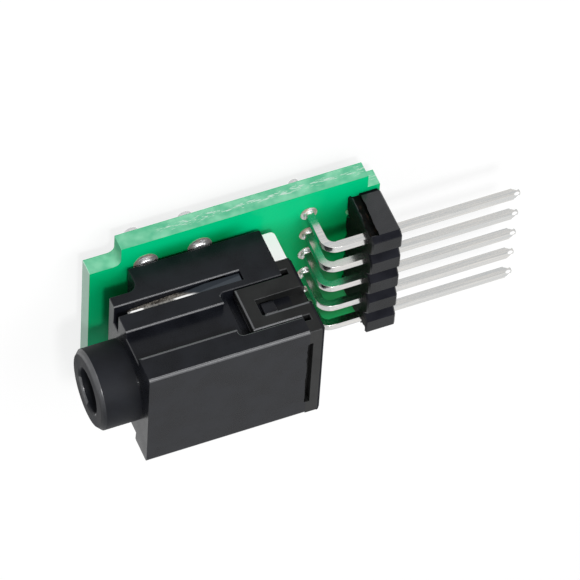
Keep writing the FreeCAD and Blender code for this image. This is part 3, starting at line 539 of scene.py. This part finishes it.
# %% Coated via finish
def via_finish():
    ring = Finish("coated_via", Specular_IOR_Level=0.1)
    drift = ring.noise(2.5)
    ring.surface(
        Base_Color=ring.blend(ring.between(drift, 0.4, 0.6), (0.02, 0.2, 0.06), (0.13, 0.4, 0.2)),
        Roughness=0.3 + (drift - 0.5) * 0.1,
        Normal=ring.bumps(drift, 0.01),
    )
    return ring.material


via_green = via_finish()
print("via finish:", via_green.name)

# %% [markdown]
# ## Finishes on the solids
#
# The board, the insulator, the contact strips, the hole linings and the via are right as they
# come, and only need a finish. The names say which finish is which, so a short table of name
# beginnings is enough. The solids that finer forms replace below are dressed by it as well.

# %% Dress the solids
COVERINGS = [
    ("circuit_board", green_board),
    ("jack_housing", body_black),
    ("jack_rear_cover", cover_black),
    ("jack_rear_insulator", insulator_white),
    ("header_housing", header_black),
    ("header_pin", pin_tin),
    ("tented_via", via_green),
]


def finish_for(name):
    for beginning, finish in COVERINGS:
        if name.startswith(beginning):
            return finish
    if name.endswith("contact"):
        return strip_metal
    return ring_tin if "plating" in name else joint_solder


def dress(piece, finish):
    piece.data.materials.clear()
    piece.data.materials.append(finish)


for name, node in nodes.items():
    dress(node, finish_for(name))
print("dressed", len(nodes), "nodes")

# %% [markdown]
# ## Edges that catch the light
#
# A moulded edge is round, if only by a tenth of a millimetre, and on black plastic it is the
# edge that one sees: it turns through every direction, so somewhere on it a lamp is reflected.
# The ready-made solids come as loose triangles with flat shading. So each moulding is copied,
# its triangles are joined and merged into whole faces, its sharp corners are bevelled, and its
# shading is weighted by face size, which keeps the flats flat and lets the edges turn. The slit at
# the seam between body and cover stays sharp, because nothing can reach into it.


# %% Copy a solid with whole faces
def deselect():
    if bpy.context.object and bpy.context.object.mode != "OBJECT":
        bpy.ops.object.mode_set(mode="OBJECT")
    bpy.ops.object.select_all(action="DESELECT")


def activate(piece):
    deselect()
    piece.select_set(True)
    bpy.context.view_layer.objects.active = piece


def merged_copy(node_name, piece_name):
    """A copy of a solid whose triangles are joined into whole faces."""
    piece = bpy.data.objects.new(piece_name, nodes[node_name].data.copy())
    piece.data.name = piece_name
    bpy.context.scene.collection.objects.link(piece)
    activate(piece)
    bpy.ops.mesh.customdata_custom_splitnormals_clear()
    bpy.ops.object.mode_set(mode="EDIT")
    bpy.ops.mesh.select_all(action="SELECT")
    bpy.ops.mesh.remove_doubles(threshold=0.001 * MM)
    bpy.ops.mesh.dissolve_limited(angle_limit=math.radians(0.5), delimit=set())
    bpy.ops.mesh.normals_make_consistent(inside=False)
    bpy.ops.object.mode_set(mode="OBJECT")
    return piece


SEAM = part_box("jack_housing")[1].x
SLIT = 0.3 * MM
SHARP = math.radians(55)


def off_the_seam(ends):
    return not all(SEAM - SLIT < v.x < SEAM + SLIT + 0.02 * MM for v in ends)


print("the seam lies at X", round(SEAM / MM, 2), "mm")

# %% [markdown]
# ### Rounding a corner
#
# A bevel puts a narrow strip in the place of a corner, and three segments are enough to round one
# that is a tenth of a millimetre wide. Only outward corners get one, because an inward corner
# catches no light, and very short edges are left out, because their strips would fold over.


# %% Bevel
def bevel_edges(piece, width, least_length, wanted=off_the_seam):
    """Rounds the outward corners that are wanted, long and sharp enough; sizes in millimetres."""
    activate(piece)
    bpy.ops.object.mode_set(mode="EDIT")
    bpy.ops.mesh.select_mode(type="EDGE")
    bpy.ops.mesh.select_all(action="DESELECT")
    form = bmesh.from_edit_mesh(piece.data)
    chosen = 0
    for edge in form.edges:
        sharp = len(edge.link_faces) == 2 and edge.calc_face_angle_signed(0) > SHARP
        long_enough = edge.calc_length() > least_length * MM
        if sharp and long_enough and wanted([v.co for v in edge.verts]):
            edge.select_set(True)
            chosen += 1
    bmesh.update_edit_mesh(piece.data)
    bpy.ops.mesh.bevel(offset=width * MM, segments=3, profile=0.5, clamp_overlap=False)
    bpy.ops.object.mode_set(mode="OBJECT")
    return chosen


print("corners are rounded from", round(math.degrees(SHARP)), "degrees up")

# %% [markdown]
# ### Where plastic is rubbed or given a painted highlight
#
# Rubbing reaches only what stands out. The strips that the bevel made are known by their small
# width and their slanted direction. Each gets a number on its face for how pale it is, as wear and
# as a painted highlight: 1 on the edges that look up and outwards, less where they are sheltered,
# and the plastic finish reads that number.


# %% Mark the rubbed edges and painted highlights
WIDEST_TURN = 0.13 * MM
FAINT = 0.08
POCKET_FRONT, POCKET_LOW, POCKET_HIGH = 11.4, -2.4, 0.4


def is_turn(piece, face):
    """Whether a face is a narrow strip that turns from one flat to the next."""
    points = piece.data.vertices
    longest = max((points[a].co - points[b].co).length for a, b in face.edge_keys)
    slanted = max(abs(v) for v in face.normal) < 0.985
    return face.area / longest < WIDEST_TURN and face.material_index == 0 and slanted


def exposed(place, turn):
    """Whether an edge looks up and outwards, where it gets wear and a painted highlight."""
    return abs(turn.y) > 0.2 and (turn.y * turn.z > 0.04 or place.z > 1.5)


def socket_wear_and_highlight(place, turn):
    """How pale an edge of the socket is, as wear and painted highlight: little inside the pockets
    of the clip arms and at the back, and half at the corners round the barrel's root."""
    if exposed(place, turn):
        in_the_pocket = place.x > POCKET_FRONT and POCKET_LOW < place.z < POCKET_HIGH
        return 0.2 if in_the_pocket or place.x > SEAM / MM else 1.0
    clear_of_it = math.hypot(place.y, place.z) > BARREL_RADIUS + 0.1
    behind_the_barrel = BARREL_LENGTH - 0.1 < place.x < BARREL_LENGTH + 0.7 and clear_of_it
    return 0.45 if behind_the_barrel and turn.x < -0.2 and turn.y > 0.2 else FAINT


def header_wear_and_highlight(place, turn):
    """How pale the header's edges are, as wear and painted highlight; most at its rough side's
    edge.
    """
    if exposed(place, turn):
        return 0.15
    return 0.5 if turn.x < -0.2 and turn.z > 0.2 else FAINT


def mark_rounded(piece, wear):
    """Stores on each face how pale it is, as wear and painted highlight."""
    marks = piece.data.attributes.new("rounded", "FLOAT", "FACE")
    for face, mark in zip(piece.data.polygons, marks.data):
        if is_turn(piece, face):
            mark.value = wear(face.center / MM, face.normal)


print("edges up to", round(WIDEST_TURN / MM, 2), "mm wide can be marked")

# %% [markdown]
# ### Shading and placing
#
# Shading comes last, because every cut and bevel changes the faces that it weighs. The finished
# piece then stands for its solid, and moves with the object as that solid did.


# %% Shade and place
def shade_by_size(piece, angle=50):
    """Smooth over gentle turns, with the large faces kept flat."""
    activate(piece)
    bpy.ops.object.shade_smooth_by_angle(angle=math.radians(angle))
    weighted = piece.modifiers.new("weighted", "WEIGHTED_NORMAL")
    weighted.keep_sharp = True
    weighted.weight = 100
    bpy.ops.object.modifier_apply(modifier="weighted")


def stand_for(piece, slot, *solids):
    """Puts a finished piece in the place of its solids."""
    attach(piece, "root")
    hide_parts(*solids)


print("pieces can be shaded and placed")

# %% [markdown]
# ## Torn and broken plastic
#
# Where a moulding was snapped, or thin flash tore off along a seam, the surface is rough and dull.
# Sculpting that would be slow. A lump with a rough skin is pushed into the moulding instead, and
# what it overlaps is taken away; the cut keeps the lump's rough skin and its finish.


# %% Broken plastic
def broken_plastic():
    scar = Finish("broken_plastic", Specular_IOR_Level=0.1, Roughness=0.6)
    streaks = scar.noise(1.0, scar.stretched((5, 5, 1.2)), detail=3)
    brown = scar.between(streaks, 0.55, 0.68)
    scar.surface(
        Base_Color=scar.blend(brown * 0.8, (0.002, 0.002, 0.002), (0.022, 0.013, 0.008)),
        Normal=scar.bumps(scar.noise(6, detail=3), 0.05),
    )
    return scar.material


scar_black = broken_plastic()
print("scar finish:", scar_black.name)

# %% [markdown]
# ### A rough lump that cuts
#
# The lump is a block with a fine grid on it, which a cloud texture pushes in and out. The boolean
# takes away what the lump overlaps, and hands the lump's finish to the new faces, so that a scar
# needs no painting.


# %% Cut with a rough lump
def rough_lump(name, place, size, towards, roughness, cuts):
    """A block with a rough skin whose upper face looks along a direction; millimetres."""
    deselect()
    bpy.ops.mesh.primitive_cube_add(size=1, location=Vector(place) * MM)
    lump = bpy.context.object
    lump.name = name
    lump.scale = Vector(size) * MM
    lump.rotation_euler = Vector(towards).to_track_quat("Z", "Y").to_euler()
    bpy.ops.object.transform_apply(location=True, rotation=True, scale=True)
    bpy.ops.object.mode_set(mode="EDIT")
    bpy.ops.mesh.select_all(action="SELECT")
    bpy.ops.mesh.subdivide(number_cuts=cuts)
    bpy.ops.object.mode_set(mode="OBJECT")
    cloud = bpy.data.textures.new(f"{name}_cloud", "CLOUDS")
    cloud.noise_scale = 0.5 * MM
    cloud.noise_depth = 3
    push = lump.modifiers.new("push", "DISPLACE")
    push.texture = cloud
    push.texture_coords = "LOCAL"
    push.strength = roughness * MM
    bpy.ops.object.modifier_apply(modifier="push")
    dress(lump, scar_black)
    return lump


def break_off(piece, lump, merged=False):
    """Takes away what the lump overlaps; the scar keeps the lump's finish. A piece merged from
    blocks that touch needs merged=True."""
    activate(piece)
    cut = piece.modifiers.new("cut", "BOOLEAN")
    cut.operation = "DIFFERENCE"
    cut.solver = "EXACT"
    cut.use_self = merged
    cut.material_mode = "TRANSFER"
    cut.object = lump
    bpy.ops.object.modifier_apply(modifier="cut")
    bpy.data.objects.remove(lump)


print("lumps are cut from the mouldings with a boolean")

# %% [markdown]
# ## The socket's body and cover
#
# Both are moulded, and get their rounded edges as above. A little flash tore off along the seam
# between them, which left the body's side of the slit ragged. At the mouth, the bore is paler all
# round and the chamfer in front of it mostly at its upper side, both as a painted highlight.


# %% Round the socket's body
MOULDED_EDGE = 0.09
MOUTH_DEPTH, CHAMFER_FROM, BORE_TO = 1.2, 2.9, 1.9


def round_moulding(piece):
    """Rounds the edges, keeps them below the solid's top, and marks wear and painted highlight."""
    count = bevel_edges(piece, MOULDED_EDGE, 0.05)
    for point in piece.data.vertices:
        point.co.z = min(point.co.z, cad_high.z)
    mark_rounded(piece, socket_wear_and_highlight)
    print(piece.name, "edges rounded:", count, "faces:", len(piece.data.polygons))


def mark_mouth(piece):
    """Marks a painted highlight on the chamfer and in the bore at the mouth."""
    for face, mark in zip(piece.data.polygons, piece.data.attributes["rounded"].data):
        place = face.center / MM
        radius = math.hypot(place.y, place.z)
        at_mouth = place.x < MOUTH_DEPTH
        if at_mouth and abs(face.normal.x) > 0.2 and radius > CHAMFER_FROM:
            mark.value = 0.1 + 0.9 * max(0.0, place.y / radius) ** 2
        if at_mouth and abs(face.normal.x) < 0.1 and radius < BORE_TO:
            mark.value = 0.6


body = merged_copy("jack_housing", "jack_housing_moulded")
dress(body, body_black)
seam_place = (SEAM / MM, 0, cad_high.z / MM)
seam_size = (7.5, 0.8, SLIT / MM)
tear = rough_lump("seam_lump", seam_place, seam_size, (1, 0, 0), 0.2, 24)
break_off(body, tear, merged=True)
round_moulding(body)
mark_mouth(body)
shade_by_size(body)
stand_for(body, "socket_plastic", "jack_housing")

# %% [markdown]
# ### The cover
#
# The cover gets the same rounding and the same marks. Only the edges at its back, which nothing
# rubs, are matt.

# %% Round the socket's cover
COVER_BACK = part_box("jack_rear_cover")[1].x
cover = merged_copy("jack_rear_cover", "jack_rear_cover_moulded")
dress(cover, cover_black)
round_moulding(cover)
cover.data.materials.append(valley_black)
for face in cover.data.polygons:
    if face.center.x > COVER_BACK - 0.4 * MM and 0.2 < face.normal.x < 0.97:
        face.material_index = 1
shade_by_size(cover)
stand_for(cover, "socket_plastic", "jack_rear_cover")
print("matt faces at the back:", sum(face.material_index for face in cover.data.polygons))

# %% [markdown]
# ## Drawn pins
#
# A pin is square wire, drawn through a die and bent over a round tool. The die leaves its four
# corners a little round, and each corner shows as one thin bright line. The solids have sharp
# corners and a bend of short flats, so each pin's leg and bend get the same treatment as the
# mouldings, with a finer bevel, and smooth shading turns the flats of its bend into one curve.

# %% Round the pins
BEND_END = 24 * MM


def on_the_leg(ends):
    return all(v.x < BEND_END for v in ends)


for index in range(1, 6):
    wire = merged_copy(f"header_pin_{index}", f"header_wire_{index}")
    count = bevel_edges(wire, 0.04, 0.02, on_the_leg)
    shade_by_size(wire, 40)
    dress(wire, pin_tin)
    stand_for(wire, "pin_metal", f"header_pin_{index}")
print("each pin: edges rounded:", count, "faces:", len(wire.data.polygons))

# %% [markdown]
# ## The header's broken ends
#
# Such strips are moulded forty pins long and snapped to length, so both ends of this one are
# broken plastic: at the first pin a shallow scoop is missing, and at the last pin a chip. The side
# towards the socket gets the breaks' near-black finish, as painted shade, the end face at the
# first pin is paler, as painted light, and the valleys between the cells are matt from the mould.

# %% Break the header
strip = merged_copy("header_housing", "header_strip")
strip_low, strip_high = [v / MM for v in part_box("header_housing")]
count = bevel_edges(strip, 0.05, 0.4)
mark_rounded(strip, header_wear_and_highlight)
dress(strip, header_black)
strip.data.materials.append(valley_black)
marks = strip.data.attributes["rounded"].data
for face in strip.data.polygons:
    if abs(face.normal.x) < 0.1 and abs(face.normal.y) > 0.4 and abs(face.normal.z) > 0.4:
        face.material_index = 1
    # Painted light: the end face at the first pin is made paler.
    if face.normal.y > 0.99 and face.center.y > (strip_high.y - 0.05) * MM:
        marks[face.index].value = 0.35

# The scoop lies across the end at the first pin, the chip at the corner by the last pin.
scoop_place = (strip_low.x + 0.5, strip_high.y + 0.05, -4.5)
break_off(strip, rough_lump("scoop_lump", scoop_place, (1.2, 4.9, 0.72), (1, 0, 0.05), 0.25, 14))
chip_place = (strip_low.x + 0.1, strip_low.y + 0.1, -2.1)
break_off(strip, rough_lump("chip_lump", chip_place, (0.75, 0.8, 1.1), (-0.7, -0.6, 0.3), 0.3, 9))
# Painted shade: the side towards the socket takes the breaks' near-black finish.
scar_slot = strip.data.materials.find(scar_black.name)
for face in strip.data.polygons:
    if face.normal.x < -0.9:
        face.material_index = scar_slot
shade_by_size(strip, 30)
stand_for(strip, "header_plastic", "header_housing")
print("header strip faces:", len(strip.data.polygons), "edges rounded:", count)

# %% [markdown]
# ## Solder joints
#
# Molten solder climbs the metal, narrows to a hollow cone and covers the tail with a round end.
# A lathe could turn that, but a real joint is never quite round. So each one grows ring by ring
# from its tip: a small disc is extruded and resized until it has passed through the hole and
# climbed the other side. Subdivision then smooths the rings, and a cloud pushes them about.

# %% Grow the joints
SIDES = 24


def grow(name, place, rings):
    """A closed form through rings of half width X, half width Y and height, in millimetres."""
    deselect()
    x, y = place
    before = rings[0]
    bpy.ops.mesh.primitive_circle_add(vertices=SIDES, radius=MM, fill_type="NGON",
                                      location=(x * MM, y * MM, before[2] * MM))
    piece = bpy.context.object
    piece.name = piece.data.name = name
    bpy.ops.object.mode_set(mode="EDIT")
    bpy.ops.mesh.select_all(action="SELECT")
    bpy.ops.transform.resize(value=(before[0], before[1], 1),
                             center_override=(x * MM, y * MM, before[2] * MM))
    for ring in rings[1:]:
        bpy.ops.mesh.extrude_region_move(
            TRANSFORM_OT_translate={"value": (0, 0, (ring[2] - before[2]) * MM)})
        bpy.ops.transform.resize(value=(ring[0] / before[0], ring[1] / before[1], 1),
                                 center_override=(x * MM, y * MM, ring[2] * MM))
        before = ring
    bpy.ops.mesh.select_all(action="SELECT")
    bpy.ops.mesh.normals_make_consistent(inside=False)
    bpy.ops.object.mode_set(mode="OBJECT")
    bpy.ops.object.transform_apply(location=True, rotation=True, scale=True)
    return piece


def settle(piece, strength, size):
    """Smooths a form and lets a cloud push its surface about, by millimetres."""
    smooth = piece.modifiers.new("smooth", "SUBSURF")
    smooth.levels = smooth.render_levels = 2
    cloud = bpy.data.textures.new(f"{piece.name}_cloud", "CLOUDS")
    cloud.noise_scale = size * MM
    push = piece.modifiers.new("push", "DISPLACE")
    push.texture = cloud
    push.texture_coords = "LOCAL"
    push.strength = strength * MM
    for modifier in ("smooth", "push"):
        bpy.ops.object.modifier_apply(modifier=modifier)
    bpy.ops.object.shade_smooth()


print("each ring of a joint has", SIDES, "corners")

# %% [markdown]
# ### The profile of a joint
#
# From its tip upwards, a joint is a small dome over the end of the tail. It widens slowly and then
# quickly towards the ring below the board, fills the hole, and narrows again above the board. A
# power of the share of the way gives the hollow flank: the higher the power, the later it widens.


# %% Profile of a joint
DOME = [(0.84, 0.0), (1.02, 0.015), (1.06, 0.07), (1.06, 0.28)]


def joint_rings(feet, hole, neck, flatness, top, tip):
    """The rings of a joint, from its round end below the board to its top above it."""
    low, high = BOARD_LOW.z, BOARD_HIGH.z
    under, over = feet
    reach = low - tip
    rings = [(neck * w, neck * w * flatness, tip + reach * h) for w, h in DOME]
    for share in (0.45, 0.62, 0.8, 0.93, 0.985):
        width = neck + (under - neck) * share ** 3.2
        depth = neck * flatness + (under - neck * flatness) * share ** 2.6
        rings.append((width, depth, tip + reach * share))
    rings += [(under, under, low - 0.01), (hole, hole, low + 0.02), (hole, hole, high - 0.02)]
    rings.append((over, over, high + 0.01))
    rise = top - high
    for share in (0.12, 0.35, 0.7, 1.0):
        left = (1 - share) ** 2.2
        width = neck + (over - neck) * left
        depth = neck * flatness + (over - neck * flatness) * left
        rings.append((width, depth, high + 0.03 + rise * share * 0.94))
    rings.append((neck * 0.5, neck * flatness * 0.5, high + 0.03 + rise * 0.95))
    return rings


print("a joint's dome has", len(DOME), "rings")

# %% [markdown]
# ### Ten joints of two kinds
#
# The socket's tails are flat strips and end in wide, slightly flattened joints. The header's tails
# are square pins, and their joints are slimmer and round. The solid of each joint gives its place
# and the width of its foot, and the grown form stays within its size.

# %% Place the joints
# For each kind: how flat its neck is, the neck's half width, how much of the solid's foot it
# covers on the upper face, and how much of the solid's height it climbs.
JOINT_KINDS = {"jack": (0.8, 0.56, 0.97, 0.7), "header": (1.0, 0.42, 0.76, 0.6)}

joints = []
for kind, (flatness, neck, over, climb) in JOINT_KINDS.items():
    for index in range(1, 6):
        solid = f"{kind}_solder_{index}"
        low, high = [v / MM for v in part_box(solid)]
        middle = ((low.x + high.x) / 2, (low.y + high.y) / 2)
        foot = (high.x - low.x) / 2
        feet = (foot * 0.97, foot * over)
        top = BOARD_HIGH.z + (high.z - BOARD_HIGH.z) * climb
        rings = joint_rings(feet, foot * 0.55, neck, flatness, top, low.z + 0.02)
        joint = grow(f"{kind}_joint_{index}", middle, rings)
        settle(joint, 0.06, 0.55)
        dress(joint, joint_solder)
        stand_for(joint, "solder", solid)
        joints.append(joint)
print("joints:", len(joints), "faces each:", len(joints[0].data.polygons))

# %% [markdown]
# ## The floor
#
# The object rests on its soldered tails, so the floor touches their ends. A white floor that is
# lit only by lamps turns grey, so a share of its whiteness shines by itself, but only towards the
# camera and into mirrors; it therefore adds no light to the object, and the shadow stays.

# %% Floor
floor_level = cad_low.z
deselect()
bpy.ops.mesh.primitive_plane_add(size=6, location=(0, 0, floor_level))
floor = bpy.context.object
floor.name = floor.data.name = "floor"


def seen_share(tree):
    """1 for rays from the camera, a mirror or glass, 0 for light that falls on things."""
    ray = tree.add("ShaderNodeLightPath", {}, {}, "Is Camera Ray")
    outputs = ray.socket.node.outputs
    mirror = Signal(tree, outputs["Is Glossy Ray"])
    glass = Signal(tree, outputs["Is Transmission Ray"])
    return ray.most(mirror).most(glass)


def floor_finish():
    sheet = Finish("floor_paper", Base_Color=(0.2, 0.2, 0.2), Roughness=0.9,
                   Specular_IOR_Level=0.0, Emission_Strength=1.0)
    share = seen_share(sheet)
    sheet.surface(Emission_Color=sheet.blend(share, (0.0, 0.0, 0.0), (0.82, 0.82, 0.82)))
    return sheet.material


dress(floor, floor_finish())
floor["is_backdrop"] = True
print("floor at", round(floor_level / MM, 2), "mm")

# %% [markdown]
# ## The light
#
# A small key lamp draws the shadows, a larger one beside it softens them, a third lights the upper
# edges, and two weak ones lift the mouth's side and the far side out of the dark. The world is
# white in the same way as the floor: fully for the camera and in mirrors, and much dimmer as a
# light.

# %% Lamps and world
middle = (cad_low + cad_high) / 2


def soft_lamp(name, direction, distance, size, light):
    """A square lamp that looks at the object; light is what reaches a surface that faces it."""
    data = bpy.data.lights.new(name, "AREA")
    data.size = size
    data.energy = light * math.pi * distance ** 2
    lamp = bpy.data.objects.new(name, data)
    bpy.context.scene.collection.objects.link(lamp)
    towards = Vector(direction).normalized()
    lamp.location = middle + towards * distance
    lamp.rotation_euler = towards.to_track_quat("Z", "Y").to_euler()
    return lamp


lamps = [
    soft_lamp("key_lamp", (-0.164, 0.647, 0.744), 0.8, 0.08, 1.6),
    soft_lamp("edge_lamp", (0.257, 0.542, 0.8), 0.6, 0.32, 1.0),
    soft_lamp("top_lamp", (0.1, 0.95, -0.1), 0.7, 0.4, 1.25),
    soft_lamp("mouth_lamp", (-0.95, 0.05, 0.31), 0.6, 0.25, 0.42),
    soft_lamp("far_lamp", (0.3, -0.8, 0.5), 0.7, 0.6, 0.12),
]
world = bpy.data.worlds.new("studio")
bpy.context.scene.world = world
world.use_nodes = True
sky = NodeTree(world.node_tree)
sky_colour = sky.blend(seen_share(sky), (0.34, 0.34, 0.34), (1.0, 1.0, 1.0))
sky.feed(sky.tree.nodes["Background"], "Color", sky_colour)
print("lamps:", [lamp.name for lamp in lamps])

# %% Measure and finish
low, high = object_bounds()
print("visual size in mm:", [round(v / MM, 2) for v in high - low])
